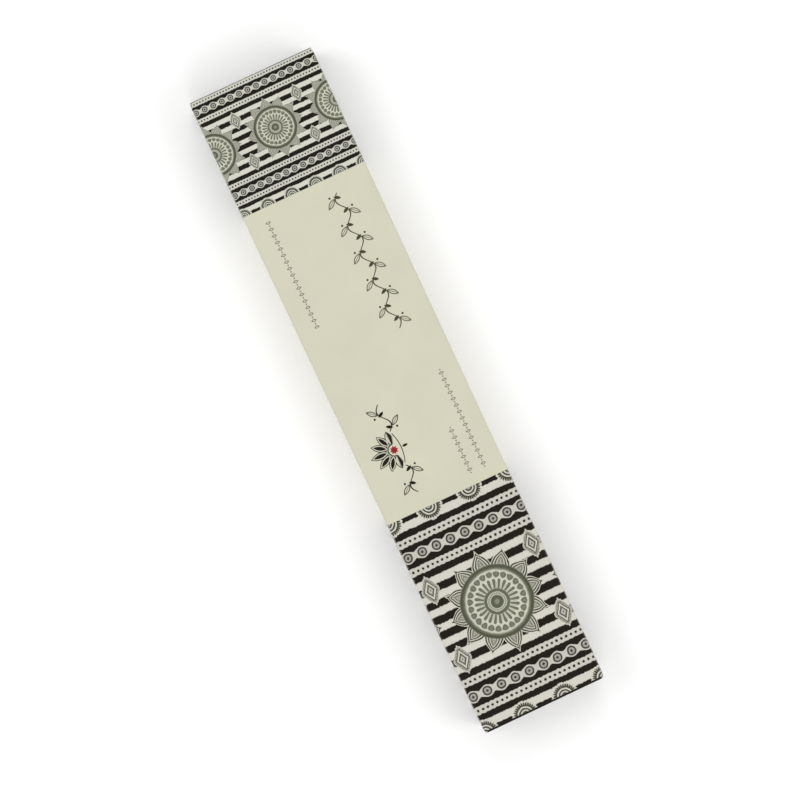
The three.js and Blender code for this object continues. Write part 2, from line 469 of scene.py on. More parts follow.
def build_ornament(tree, along, across, rosette_pitch, rosette_size, fineness, ragged):
    """The whole ornament: stripes, rows of dots, chains of beads, and flowers over them."""
    # Everything is mirrored about the rosettes' line and about the medallions' line
    from_rosette = math_node("PINGPONG", along, ORNAMENT_HALF)
    between = math_node("PINGPONG", across, rosette_pitch * 0.5)
    edge = from_rosette + ragged
    ink = rings(
        edge,
        [(1.22, 0.0), (4.05, 1.0), (6.57, 0.0), (9.2, 1.0), (11.67, 0.0), (14.38, 1.0), (17.05, 0.0),
         (34.95, 1.0), (40.0, 0.0)],
        SOFT)
    from_side = highest(DASH_START + DASH_CORNER - edge, 0.0)
    from_end = highest(to_nearest(across, MEDALLION_PITCH) - DASH_HALF + DASH_CORNER + ragged * 0.6, 0.0)
    ink = over(ink, inside(length_of(from_side, from_end) - DASH_CORNER, SOFT), 1.0)
    row = lowest(*(abs(from_rosette - line) for line in DOT_LINES))
    step = to_nearest(across, DOT_PITCH)
    ink = over(ink, inside(row - DOT_BAND_HALF + step * 0.2 + ragged * 0.4, SOFT), 0.1)
    ink = over(ink, inside(length_of(row, step) - 0.47, SOFT), 0.97)
    aside = abs(from_rosette - BEAD_LINE)
    beads = placed("Bead Chain", tree, aside, across)
    ink = over(ink, inside(aside - 2.3, SOFT), beads)
    cover, tone = placed(
        "Lozenge", tree, abs(from_rosette - LOZENGE_LINE), rosette_pitch * 0.5 - between)
    ink = over(ink, cover, tone)
    green = cover * 0.3
    cover, tone, tint = placed(
        "Rosette", tree, from_rosette / rosette_size, between / rosette_size, fineness)
    ink = over(ink, cover, tone)
    green = over(green, cover, tint)
    cover, tone = placed(
        "Medallion", tree, ORNAMENT_HALF - from_rosette,
        to_nearest(across + MEDALLION_PITCH / 2, MEDALLION_PITCH))
    ink = over(ink, cover, tone)
    green = over(green, cover, 0.3)
    return [ink, green]


def leaf(x, y, angle, length, width):
    """How far outside a pointed leaf that grows from the middle of a small frame."""
    cosine, sine = math.cos(angle), math.sin(angle)
    along = (x * cosine + y * sine) * (2 / length) - 1
    aside = abs(y * cosine - x * sine)
    return aside - (1 - along * along) * (width / 2)


def outlined(shape, line):
    """The inside of a shape's edge, as a line."""
    return abs(shape + line / 2) - line / 2


VINE_STEP = 5.0  # from one bend of the stem to the next
VINE_SWING = 1.5
FINE_LINE = 0.3


def build_vine(tree, along, across, half_length):
    """A slender stem that swings from side to side, with a pair of leaves at each bend."""
    wave = math_node("SINE", along * (math.pi / VINE_STEP))
    stem = abs(across - wave * VINE_SWING) - FINE_LINE * 0.75
    side = math_node("SIGN", wave)
    x = math_node("FLOORED_MODULO", along, VINE_STEP) - VINE_STEP / 2
    y = across * side - VINE_SWING
    outer = leaf(x + 1.0, y, math.radians(50), 4.3, 1.7)
    rib = highest(abs((x + 1.0) * 0.766 - y * 0.643) - 0.09, outer + 0.2)
    inner = leaf(x + 1.6, y - 0.1, math.radians(-62), 2.6, 1.1)
    berry = length_of(x + 1.7, y - 1.5) - 0.38
    shape = lowest(stem, outlined(outer, FINE_LINE), rib, inner, berry)
    return [inside(highest(shape, abs(along) - half_length), SOFT)]


def build_lozenge_row(tree, along, across, half_length):
    """A fine row of small lozenges and dots."""
    step = to_nearest(along, 2.4)
    lozenge = (step / 0.62 + abs(across) / 1.05 - 1) * 0.5
    dot = length_of(1.2 - step, across) - 0.25
    shape = lowest(outlined(lozenge, 0.26), dot)
    return [inside(highest(shape, abs(along) - half_length), SOFT)]


def build_lotus(tree, along, across):
    """A fan of seven outlined petals over a small floret, with a leafy sprig to each side."""
    mirrored = abs(along)
    radius = length_of(along, across)
    angle = math_node("ARCTAN2", mirrored, across)
    turn = to_nearest(angle, PETAL_TURN)
    share = (radius - 1.7) / (6.9 - angle * 1.1)
    half = share * (1 - share) * 5.2
    petal = highest(radius * math_node("SINE", turn) - half, angle - math.radians(105))
    core = petal + 0.62
    cup = highest(abs(radius - 2.0) - 0.15, 0.2 - across)
    foot = highest(abs(across + 2.6 - mirrored * mirrored * 0.035) - FINE_LINE / 2, mirrored - 5.4)
    drop = leaf(mirrored, -2.9 - across, QUARTER, 2.2, 0.9)
    sprig = placed("Leafy Vine", tree, mirrored - 11.2, across + 1.4, 5.0)
    shape = lowest(outlined(petal, FINE_LINE), core, cup, foot, drop)
    floret = radius - math_node("COSINE", math_node("ARCTAN2", along, across) * 8) * 0.22 - 1.2
    return [highest(inside(shape, SOFT), sprig), inside(floret, SOFT)]


# Where the print lies on the sheet, in millimetres from the front panel's middle
SMALL_MIDDLE = -98.4
SMALL_SCALE = 0.578
SMALL_PITCH_SCALE = 0.588
LARGE_PITCH_SCALE = 0.99
SMALL_ROSETTE = 0.975  # against the rest of the small ornament
SMALL_FINENESS = 0.6
SMALL_END = -75.6
LARGE_MIDDLE = 77.9
LARGE_START = 38.6
ACROSS_MIDDLE = 0.25
ROSETTE_PITCH = 38.2
TAB_INK_AND_SHADE_START = 133.0  # the tuck tabs are dark all over, from just before their fold; at the foot end this is painted shade on the tuck fold that shows past the front panel's free edge
FOOT_SHADE_LINE = 116.75  # middle of the painted shade line that borders the foot end, along the front panel's free edge

# The plain panel's ornament: places along and across, and half lengths
VINE = (-45.0, 9.5, 25.0)
LOZENGE_ROWS = ((-51.3, -15.5, 19.6), (26.0, 10.7, 8.8), (16.4, 15.8, 18.4))
LOTUS = (16.4, -9.6)


def at_head(along):
    """1 on the head end's half of the sheet and 0 on the foot end's."""
    return inside(along, 1.0)


def build_carton_print(tree, place, back_middle):
    """All the inks of the sheet: the ornament at both ends and the plain panel between them, and painted
    shade along the foot end.
    """
    along, across = split(place)
    wobble = (noise(tree, place, 2.2, 1.0) - 0.5) * 0.5
    drift = (noise(tree, join(across, along), 1.7, 1.0) - 0.5) * 0.4
    ragged = (noise(tree, place, 0.8, 2.0) - 0.5) * 0.75
    small = at_head(along)
    middle = over(LARGE_MIDDLE, small, SMALL_MIDDLE)
    scale = over(1.0, small, SMALL_SCALE)
    pitch_scale = over(LARGE_PITCH_SCALE, small, SMALL_PITCH_SCALE)
    ink, green = placed(
        "Block Print Ornament", tree,
        (along - middle) / scale + wobble, (across - ACROSS_MIDDLE) / pitch_scale + drift,
        ROSETTE_PITCH, over(1.0, small, SMALL_ROSETTE), over(1.0, small, SMALL_FINENESS), ragged)
    plain = inside(highest(SMALL_END - along, along - LARGE_START), 0.15)

    # The plain panel's fine ornament, alike on the front and on the back
    panel = across - back_middle * math_node("GREATER_THAN", across, back_middle * 0.5)
    u, v, half = VINE
    vine = placed("Leafy Vine", tree, along - u, panel - v, half)
    fine = highest(*(
        placed("Lozenge Row", tree, along - u, panel - v, half) for u, v, half in LOZENGE_ROWS))
    u, v = LOTUS
    lotus, floret = placed("Lotus", tree, along - u, v - panel)
    # Painted shade: a dark line along the foot end's edge and the dark tuck folds stand for the shadowed
    # gap between the front panel's free edge and the tuck fold; the hidden tabs are dark too
    tab = inside(lowest(TAB_INK_AND_SHADE_START - abs(along), abs(along - FOOT_SHADE_LINE) - 0.3), 0.2)
    return [
        highest(ink, tab), over(green, tab, 0.0), plain, highest(vine, fine * 0.75), lotus, floret]


def build_paper_grain(tree, place):
    """Fine fibres and slow cloudiness of paperboard."""
    cloud = noise(tree, place, 16.0, 2.0)
    fibre = noise(tree, place, 0.35, 3.0)
    return [cloud, fibre, fibre * 0.6 + noise(tree, place, 1.6, 2.0) * 0.5]


def build_rubbed(tree, place, distance, reach):
    """Where the surface is rubbed near a crease or a cut, from its distance in millimetres."""
    patchy = noise(tree, place, 1.1, 3.0)
    near = math_node("MULTIPLY_ADD", distance / reach, -1, 1, clamp=True)
    return [math_node("MULTIPLY_ADD", near * near + patchy, 6.0, -8.2, clamp=True)]


# What fills each effect, what it takes and what it gives
EFFECTS = {
    "Rosette": (build_rosette, ("Along", "Across", "Fineness"), ("Cover", "Ink", "Green")),
    "Lozenge": (build_lozenge, ("Along", "Across"), ("Cover", "Ink")),
    "Bead Chain": (build_bead_chain, ("Aside", "Across"), ("Ink",)),
    "Medallion": (build_medallion, ("Aside", "Across"), ("Cover", "Ink")),
    "Block Print Ornament": (
        build_ornament, ("Along", "Across", "Rosette Pitch", "Rosette Size", "Fineness", "Ragged"),
        ("Ink", "Green")),
    "Leafy Vine": (build_vine, ("Along", "Across", "Half Length"), ("Ink",)),
    "Lozenge Row": (build_lozenge_row, ("Along", "Across", "Half Length"), ("Ink",)),
    "Lotus": (build_lotus, ("Along", "Across"), ("Ink", "Floret")),
    "Carton Print": (
        build_carton_print, ("Place", "Back Middle"),
        ("Ink", "Green", "Plain", "Fine Lines", "Lotus", "Floret")),
    "Paper Grain": (build_paper_grain, ("Place",), ("Cloud", "Fibre", "Height")),
    "Rubbed Edge": (build_rubbed, ("Place", "Distance", "Reach"), ("Rubbed",)),
}


# Materials

PRINT_MAP = "Sheet"  # each point's place on the flat sheet, in metres
BAKE_MAP = "OFBake"


def new_material(name):
    material = bpy.data.materials.new(name)
    material.use_nodes = True
    tree = material.node_tree
    tree.nodes.clear()
    shader = tree.nodes.new("ShaderNodeBsdfPrincipled")
    output = tree.nodes.new("ShaderNodeOutputMaterial")
    tree.links.new(shader.outputs[0], output.inputs["Surface"])
    return material, tree, shader


def sheet_place(tree):
    """The place on the flat sheet, in millimetres."""
    node = tree.nodes.new("ShaderNodeUVMap")
    node.uv_map = PRINT_MAP
    mapping = tree.nodes.new("ShaderNodeMapping")
    tree.links.new(node.outputs[0], mapping.inputs["Vector"])
    mapping.inputs["Scale"].default_value = (1 / MM, 1 / MM, 1)
    return Field(tree, mapping.outputs[0])


def shaded(tree, shader, colour, shade):
    """Feeds the shader its colour, lightened and darkened by a shade."""
    node = tree.nodes.new("ShaderNodeVectorMath")
    node.operation = "SCALE"
    feed(tree, colour, node.inputs[0])
    feed(tree, shade, node.inputs["Scale"])
    tree.links.new(node.outputs[0], shader.inputs["Base Color"])


def bumped(tree, shader, height, distance):
    node = tree.nodes.new("ShaderNodeBump")
    node.inputs["Distance"].default_value = distance
    node.inputs["Strength"].default_value = 1.0
    feed(tree, height, node.inputs["Height"])
    tree.links.new(node.outputs[0], shader.inputs["Normal"])


def printed_board(colours, blank):
    """Coated board, printed in dark, green and cream inks, with painted shade along the foot end and rubbed
    creases.
    """
    material, tree, shader = new_material("printed board")
    place = sheet_place(tree)
    along, across = split(place)
    ink, green, plain, fine, lotus, floret = placed(
        "Carton Print", tree, place, blank.back_middle / MM)
    cloud, fibre, height = placed("Paper Grain", tree, place)
    light = mixed_colour(tree, at_head(along), colours.light, colours.light_head)
    ornament = mixed_colour(tree, ink, light, colours.dark)
    leaves = mixed_colour(tree, ink, colours.green_light, colours.green_dark)
    ornament = mixed_colour(tree, green, ornament, leaves)
    panel = mixed_colour(tree, fine, colours.cream, colours.olive)
    panel = mixed_colour(tree, lotus, panel, colours.dark)
    panel = mixed_colour(tree, floret, panel, colours.red)
    colour = mixed_colour(tree, plain, ornament, panel)

    half_crease = (blank.side_start - blank.front_edge) / (2 * MM)
    first = (blank.front_edge + blank.side_start) / (2 * MM)
    second = (blank.side_end + blank.back_start) / (2 * MM)
    crease = lowest(abs(abs(across) - first), abs(across - second)) - half_crease * 0.4
    rubbed = placed("Rubbed Edge", tree, place, highest(crease, 0.0), 0.5)
    colour = mixed_colour(tree, rubbed * 0.35, colour, colours.board)
    shade = math_node("MULTIPLY_ADD", cloud, 0.12, 0.94) + (fibre - 0.5) * 0.05
    shaded(tree, shader, colour, shade)

    rough = 0.4 + fibre * 0.1 + rubbed * 0.25
    feed(tree, rough, shader.inputs["Roughness"])
    shader.inputs["Specular IOR Level"].default_value = 0.16
    bumped(tree, shader, height, 0.012 * MM)
    arrange(tree)
    return material


def bare_board(colours, blank):
    """The uncoated inside and the cut edges, with loose fibres and specks."""
    material, tree, shader = new_material("bare board")
    place = sheet_place(tree)
    cloud, fibre, height = placed("Paper Grain", tree, place)
    specks = math_node("MULTIPLY_ADD", noise(tree, place, 0.55, 3.0), 9.0, -6.2, clamp=True)
    speckled = tuple(0.55 * value for value in colours.board)
    colour = mixed_colour(tree, specks * 0.5, colours.board, speckled)
    shade = math_node("MULTIPLY_ADD", cloud, 0.16, 0.92) + (fibre - 0.5) * 0.16
    shaded(tree, shader, colour, shade)
    feed(tree, 0.74 + fibre * 0.16, shader.inputs["Roughness"])
    shader.inputs["Specular IOR Level"].default_value = 0.25
    bumped(tree, shader, height, 0.03 * MM)
    arrange(tree)
    return material


# The flat sheet

ALONG, ACROSS = 0, 1  # the sheet's axes
GLUE_LINE = 0.05 * MM  # from the glue flap to the left side
GLUE_FLAP_HEIGHT = 12 * MM
GLUE_FLAP_TAPER = math.radians(20)
SEAM_LIFT = 0.15 * MM  # of the left side's free edge above the back's outer face
CLOSURE_CREASE = 0.6 * MM  # where a closure's bend begins, from the carton's end
CORNER_CUT = (0.3 * MM, 1.0 * MM)  # relief at a free edge's corners, along the carton and up the side
FREE_EDGE_STEP = 0.3 * MM  # from a free edge's end to the crease beside it
GLUE_STEP = 0.15 * MM  # of the back's free edge past the glue flap's crease
FLAT_END = 5 * MM  # stretch at each end in which the panels don't bow
END_SCORE = 3 * MM
BOW_SWING = 0.25  # share by which the bow varies along the carton
BOW_WAVE = 31 * MM
BOW_PHASE = 0.6

CLOSURE_TAPER = (1.0 * MM, 0.55 * MM)  # beside its hinge, along the carton and across
TUCK_CLEARANCE = 0.7 * MM  # from a closed tuck fold to the outer face of the panel that it meets
SHOULDER = 1.2 * MM  # from where a closure narrows to its tuck fold
TAB_START = 0.2 * MM  # from the tuck fold's start to where the tab has its width
TAB_INSET = 0.8 * MM
FLAP_SLOPE = 0.32
FLAP_CORNER = 2.5 * MM
BEND_MARGIN = 0.1 * MM  # by which the start and stop places fall short of the fold's ends

SHARP_EDGE = math.radians(35)  # an edge that turns at least this far isn't shaded smooth
TILE_EDGE = 0.5 * MM  # of bare map round what a tile holds


class Crease(NamedTuple):
    """A fold of the board: where its bend begins on the sheet and how far it turns."""

    axis: int  # ALONG or ACROSS, the axis that crosses the crease
    start: float
    towards: int  # +1 or -1, the side that is folded down
    radius: float
    angle: float = QUARTER
    steps: int = 6

    @property
    def chord(self):
        return 2 * self.radius * math.sin(self.angle / self.steps / 2)

    @property
    def end(self):
        return self.start + self.towards * self.steps * self.chord

    @property
    def lines(self):
        return [self.start + self.towards * step * self.chord for step in range(self.steps + 1)]


class Blank:
    """Where the panels lie across the flat sheet, from the front panel's middle."""

    def __init__(self, sizes):
        radius = sizes.fold_radius
        self.front_edge = HALF_WIDTH - radius
        self.right = Crease(ACROSS, self.front_edge, 1, radius)
        self.left = Crease(ACROSS, -self.front_edge, -1, radius)
        self.side_start = self.right.end
        self.side_end = self.side_start + DEPTH - 2 * radius
        self.back = Crease(ACROSS, self.side_end, 1, radius)
        self.back_start = self.back.end
        self.back_middle = self.back_start + self.front_edge
        # The glue flap lies inside the left side, a hair clear of it
        flap_face = HALF_WIDTH - sizes.board - GLUE_LINE
        self.glue = Crease(ACROSS, self.back_middle + flap_face - sizes.board, 1, sizes.board)
        self.glue_end = self.glue.end + GLUE_FLAP_HEIGHT - sizes.board
        self.left_end = -(self.side_start + DEPTH - radius - SEAM_LIFT)
        self.side_top = self.side_start + DEPTH - radius  # where a side would meet z = 0

    def side_at(self, height):
        """The place on a side panel that ends up at that height."""
        return self.side_top - height


class Sheet:
    """A piece of board, cut flat in the plane z = 0 with its printed face up, scored and folded.

    The flat layer keeps each point's place on the sheet while the board is folded.
    """

    def __init__(self, outline):
        self.mesh = bmesh.new()
        self.mesh.faces.new([self.mesh.verts.new((x, y, 0)) for x, y in outline])
        self.mesh.normal_update()
        if self.mesh.faces[:][0].normal.z < 0:
            bmesh.ops.reverse_faces(self.mesh, faces=self.mesh.faces[:])

    def round_corners(self, corners, radius):
        places = [Vector((x, y, 0)) for x, y in corners]
        found = [v for v in self.mesh.verts if any((v.co - p).length < TINY for p in places)]
        bmesh.ops.bevel(
            self.mesh, geom=found, offset=radius, segments=6, profile=0.5, affect="VERTICES",
            material=-1)

    def score(self, axis, places):
        """Cuts the face across at each place, so that it can bend there."""
        normal = Vector((axis == ALONG, axis == ACROSS, 0))
        for place in places:
            parts = self.mesh.verts[:] + self.mesh.edges[:] + self.mesh.faces[:]
            bmesh.ops.bisect_plane(
                self.mesh, geom=parts, dist=TINY, plane_co=normal * place, plane_no=normal)

    def keep_flat(self):
        self.flat = self.mesh.verts.layers.float_vector.new("flat")
        for vert in self.mesh.verts:
            vert[self.flat] = vert.co

    def fold(self, crease):
        """Turns what lies beyond each line of a crease, the farthest line first."""
        turn_axis = Vector((0, 1, 0)) if crease.axis == ALONG else Vector((-1, 0, 0))
        for step, line in reversed(list(enumerate(crease.lines))):
            beyond = [
                v for v in self.mesh.verts
                if crease.towards * (v[self.flat][crease.axis] - line) > TINY]
            share = 0.5 if step in (0, crease.steps) else 1
            angle = crease.towards * share * crease.angle / crease.steps
            middle = Vector((0, 0, 0))
            middle[crease.axis] = line
            bmesh.ops.rotate(
                self.mesh, verts=beyond, cent=middle, matrix=Matrix.Rotation(angle, 3, turn_axis))

    def place(self, matrix):
        bmesh.ops.transform(self.mesh, matrix=matrix, verts=self.mesh.verts[:])

    def thicken(self, board):
        """Gives the sheet its thickness, inwards from the printed face."""
        self.printed = set(self.mesh.faces)
        self.outer = set(self.mesh.verts)
        bmesh.ops.solidify(self.mesh, geom=self.mesh.faces[:], thickness=board)
        for face in self.mesh.faces:
            face.smooth = True
            face.material_index = 0 if face in self.printed else 1
        for edge in self.mesh.edges:
            edge.smooth = edge.calc_face_angle(math.pi) < SHARP_EDGE

    def flat_corners(self, face, board):
        """Each corner's place on the sheet. A cut edge is laid flat beside the face that it ends."""
        places = [loop.vert[self.flat].to_2d() for loop in face.loops]
        on_print = [loop.vert in self.outer for loop in face.loops]
        if all(on_print) or not any(on_print):
            return places
        edge = next(e for e in face.edges if all(v in self.outer for v in e.verts))
        neighbour = next((f for f in edge.link_faces if f in self.printed), None)
        if neighbour is None:
            return places
        start, end = (v[self.flat].to_2d() for v in edge.verts)
        outward = (end - start).orthogonal().normalized()
        middle = sum((v[self.flat].to_2d() for v in neighbour.verts), Vector((0, 0)))
        if outward.dot(middle / len(neighbour.verts) - start) > 0:
            outward.negate()
        return [p if on else p + outward * board for p, on in zip(places, on_print)]

    def map_sheet(self, board, tiles, turned=None):
        """Writes the sheet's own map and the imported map, which tiles lay out."""
        own = self.mesh.loops.layers.uv.new(PRINT_MAP)
        packed = self.mesh.loops.layers.uv.new(BAKE_MAP)
        for face in self.mesh.faces:
            inner = not any(v in self.outer for v in face.verts)
            middle = sum((v[self.flat].to_2d() for v in face.verts), Vector((0, 0)))
            middle /= len(face.verts)
            tile = next(t for t in tiles if t.holds(middle, inner))
            for loop, place in zip(face.loops, self.flat_corners(face, board)):
                loop[own].uv = place if turned is None else turned(place)
                loop[packed].uv = tile.packed(place)

    def set_in_order(self):
        """Orders the mesh by its places on the sheet, because solidify leaves an order that varies."""
        verts = sorted(self.mesh.verts, key=lambda v: (*v[self.flat], v in self.outer))
        ranks = {vert: rank for rank, vert in enumerate(verts)}
        self.mesh.verts.sort(key=ranks.get)
        self.mesh.verts.index_update()
        for parts in (self.mesh.edges, self.mesh.faces):
            found = sorted(parts, key=lambda part: sorted(v.index for v in part.verts))
            ranks = {part: rank for rank, part in enumerate(found)}
            parts.sort(key=ranks.get)


class Tile(NamedTuple):
    """A rectangle of the sheet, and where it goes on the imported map."""

    inner: bool
    low: tuple
    high: tuple
    corner: tuple
    size: tuple
    turned: bool = False

    def holds(self, place, inner):
        return inner == self.inner and all(
            self.low[k] - TINY <= place[k] <= self.high[k] + TINY for k in (0, 1))

    def packed(self, place):
        share = [(place[k] - self.low[k]) / (self.high[k] - self.low[k]) for k in (0, 1)]
        if self.turned:
            share = [share[1], 1 - share[0]]
        return [self.corner[k] + self.size[k] * share[k] for k in (0, 1)]


def finish_piece(sheet, name, materials, replaced):
    """Makes the sheet an object that stands for its CAD node."""
    sheet.set_in_order()
    mesh = bpy.data.meshes.new(name)
    sheet.mesh.to_mesh(mesh)
    sheet.mesh.free()
    for material in materials:
        mesh.materials.append(material)
    piece = bpy.data.objects.new(name, mesh)
    bpy.context.scene.collection.objects.link(piece)
    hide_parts(replaced)
    return piece


def carton_materials(scene):
    """The two finishes, made once."""
    names = ("printed board", "bare board")
    found = [bpy.data.materials.get(name) for name in names]
    if None in found:
        blank = Blank(scene.carton_sizes)
        found = [printed_board(scene.carton_print, blank), bare_board(scene.carton_print, blank)]
    return found


def steps_between(start, end, count):
    """Places that part a stretch into equal steps, its ends left out."""
    return [start + (end - start) * step / count for step in range(1, count)]


# Operators

class CARTON_OT_stage(bpy.types.Operator):
    """Set up the floor, the soft lights and the camera"""

    bl_idname = "carton.stage"
    bl_label = "Floor, Lights and Camera"

    def execute(self, context):
        studio = context.scene.carton_studio
        self.floor(context.scene, studio)
        self.lights(context.scene, studio)
        self.camera(context.scene, studio)
        context.scene.view_settings.view_transform = "Standard"
        return {"FINISHED"}

    def floor(self, scene, studio):
        grid = bmesh.new()
        bmesh.ops.create_grid(grid, x_segments=2, y_segments=2, size=3.0)
        mesh = bpy.data.meshes.new("floor")
        grid.to_mesh(mesh)
        grid.free()
        material, _, shader = new_material("pale floor")
        shader.inputs["Base Color"].default_value = (*studio.floor, 1)
        shader.inputs["Roughness"].default_value = 0.9
        shader.inputs["Specular IOR Level"].default_value = 0.1
        mesh.materials.append(material)
        floor = bpy.data.objects.new("floor", mesh)
        scene.collection.objects.link(floor)

    def lights(self, scene, studio):
        world = bpy.data.worlds.new("soft sky")
        world.use_nodes = True
        background = world.node_tree.nodes["Background"]
        background.inputs["Color"].default_value = (1, 1, 1, 1)
        background.inputs["Strength"].default_value = studio.sky
        scene.world = world
        for name, place, share in (
            ("soft light left", (-0.5, -0.75, 0.85), 1.15),
            ("soft light right", (0.55, 0.75, 0.85), 1.0),
            ("soft light head", (-0.95, 0.3, 0.8), 0.9),
            ("soft light foot", (0.95, -0.3, 0.8), 0.75),
        ):
            lamp = bpy.data.lights.new(name, "AREA")
            lamp.shape = "SQUARE"
            lamp.size = 0.6
            lamp.energy = studio.light_power * share
            light = bpy.data.objects.new(name, lamp)
            light.location = place
            light.rotation_euler = (-Vector(place)).to_track_quat("-Z", "Y").to_euler()
            scene.collection.objects.link(light)

    def camera(self, scene, studio):
        back = Vector((math.sin(studio.tilt_along), math.sin(studio.tilt_across), 0))
        back.z = math.sqrt(1 - back.length_squared)
        right = Vector((math.cos(studio.turn), math.sin(studio.turn), 0))
        right = (right - back * right.dot(back)).normalized()
        up = back.cross(right)
        aim = Vector((studio.aim_along, studio.aim_across, DEPTH))
        lens = bpy.data.cameras.new("camera")
        lens.lens = studio.lens
        lens.sensor_width = 36.0
        lens.clip_start = 0.05
        camera = bpy.data.objects.new("camera", lens)
        axes = Matrix((right, up, back)).transposed().to_4x4()
        camera.matrix_world = Matrix.Translation(aim + back * studio.distance) @ axes
        scene.collection.objects.link(camera)
        scene.camera = camera


def sleeve_outline(blank, sizes):
    """The sleeve's flat outline and those of its corners that are rounded."""
    end = HALF_LENGTH
    creased = end - CLOSURE_CREASE
    side = end - FLAP_FACE - sizes.fold_radius
    free = end - FREE_EDGE_INSET
    cut_in, cut_up = CORNER_CUT
    free_corner = blank.front_edge - FREE_EDGE_STEP
    taper = (blank.glue_end - blank.glue.end) * math.tan(GLUE_FLAP_TAPER)
    back_free = (blank.back_start + FREE_EDGE_STEP, blank.glue.start + GLUE_STEP)
    head = [
        (-side, blank.left_end), (-side, blank.left.end), (-creased, -blank.front_edge),
        (-creased, blank.front_edge), (-side, blank.side_start), (-side, blank.side_end - cut_up),
        (cut_in - side, blank.side_end), (-free, back_free[0]), (-free, back_free[1]),
        (-side, blank.glue.end), (taper - side, blank.glue_end)]
    foot = [
        (side - taper, blank.glue_end), (side, blank.glue.end), (creased, blank.glue.start),
        (creased, blank.back_start), (side, blank.side_end), (side, blank.side_start + cut_up),
        (side - cut_in, blank.side_start), (free, free_corner), (free, -free_corner),
        (side - cut_in, blank.left.end), (side, blank.left.end - cut_up), (side, blank.left_end)]
    rounded = [
        (-free, back_free[0]), (-free, back_free[1]), (free, free_corner), (free, -free_corner)]
    return head + foot, rounded


def sleeve_tiles(blank):
    """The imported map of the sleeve: the front and sides in two large halves, and the rest beside."""
    x_low, x_high = -HALF_LENGTH - TILE_EDGE, HALF_LENGTH + TILE_EDGE
    low, seam, high = blank.left_end - TILE_EDGE, blank.back_start, blank.glue_end + TILE_EDGE
    filled = 0.985  # share of the map's height that the two halves fill
    back_share = 0.56  # share of what is left beside them that the back takes
    gap = 0.004
    scale = filled / (2 * (seam - low))
    half = (-scale * x_low, scale * (seam - low))
    left = half[0] + 3 * gap
    back_width = back_share * (1 - left - 2 * gap)
    inner_width = 1 - left - back_width - 2 * gap
    return [
        Tile(False, (x_low, low), (0, seam), (gap, gap), half),
        Tile(False, (0, low), (x_high, seam), (gap, 2 * gap + half[1]), half),
        Tile(False, (x_low, seam), (x_high, high), (left, gap), (back_width, 1 - 2 * gap), True),
        Tile(True, (x_low, low), (x_high, high), (left + back_width + gap, gap),
             (inner_width, 1 - 2 * gap), True),
    ]


class CARTON_OT_sleeve(bpy.types.Operator):
    """Cut, score, fold and glue the sleeve: four panels and the glue flap"""

    bl_idname = "carton.sleeve"
    bl_label = "Sleeve"

    def execute(self, context):
        sizes = context.scene.carton_sizes
        blank = Blank(sizes)
        outline, rounded = sleeve_outline(blank, sizes)
        sheet = Sheet(outline)
        sheet.round_corners(rounded, sizes.free_corner)
        creases = (blank.glue, blank.back, blank.right, blank.left)
        for crease in creases:
            sheet.score(ACROSS, crease.lines)
        for start, end, count in (
            (-blank.front_edge, blank.front_edge, 10),
            (blank.back_start, blank.glue.start, 10),
            (blank.side_start, blank.side_end, 4),
            (blank.left_end, blank.left.end, 4),
            (blank.glue.end, blank.glue_end, 3),
        ):
            sheet.score(ACROSS, steps_between(start, end, count))
        sheet.score(ALONG, steps_between(-HALF_LENGTH + FLAT_END, HALF_LENGTH - FLAT_END, 24))
        sheet.score(ALONG, [-HALF_LENGTH + END_SCORE, HALF_LENGTH - END_SCORE])
        sheet.keep_flat()
        for crease in creases:
            sheet.fold(crease)
        sheet.place(Matrix.Translation((0, 0, DEPTH)))
        self.bow(sheet, blank, sizes)
        sheet.thicken(sizes.board)
        sheet.map_sheet(sizes.board, sleeve_tiles(blank))
        sleeve = finish_piece(
            sheet, "printed_sleeve", carton_materials(context.scene), "sleeve")
        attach(sleeve, "sleeve")
        return {"FINISHED"}

    def bow(self, sheet, blank, sizes):
        """Lets the panels stand a little proud between their creases, as folded board does."""
        reach = HALF_LENGTH - FLAT_END
        side_half = DEPTH / 2 - sizes.fold_radius
        for vert in sheet.mesh.verts:
            along, across, _ = vert[sheet.flat]
            share = max(0.0, 1 - (along / reach) ** 4)
            slow = 1 + BOW_SWING * math.sin(along / BOW_WAVE + BOW_PHASE)
            if abs(across) < blank.front_edge:
                rise = 1 - (across / blank.front_edge) ** 2
                vert.co.z += sizes.front_bow * share * slow * rise
            elif blank.back_start < across < blank.glue.start:
                rise = 1 - ((across - blank.back_middle) / blank.front_edge) ** 2
                vert.co.z += sizes.side_bow * share * max(0.0, rise)
            elif abs(abs(vert.co.y) - HALF_WIDTH) < 2 * sizes.board:
                rise = 1 - min(1.0, abs(vert.co.z - DEPTH / 2) / side_half) ** 2
                vert.co.y += math.copysign(sizes.side_bow * share * slow * rise, vert.co.y)


def turned_to_foot(sheet, middle):
    """Turns a head end piece end for end, and gives what turns its places about that middle too."""
    sheet.place(Matrix.Translation((0, 0, DEPTH)) @ Matrix.Rotation(math.pi, 4, "Y"))
    return lambda place: Vector((-place.x, middle - place.y))


def small_tiles(low, high):
    """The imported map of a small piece: its printed face below and its inside above."""
    low = (low[0] - TILE_EDGE, low[1] - TILE_EDGE)
    high = (high[0] + TILE_EDGE, high[1] + TILE_EDGE)
    across, along = high[1] - low[1], high[0] - low[0]
    gap = 0.012
    scale = (1 - 2 * gap) / max(across, along)
    shape = (scale * across, scale * along)
    rest = 1 - shape[1] - 3 * gap
    inner = min(rest, shape[1])
    return [
        Tile(False, low, high, (gap, gap), shape, True),
        Tile(True, low, high, (gap, 2 * gap + shape[1]), (shape[0], inner), True),
    ]


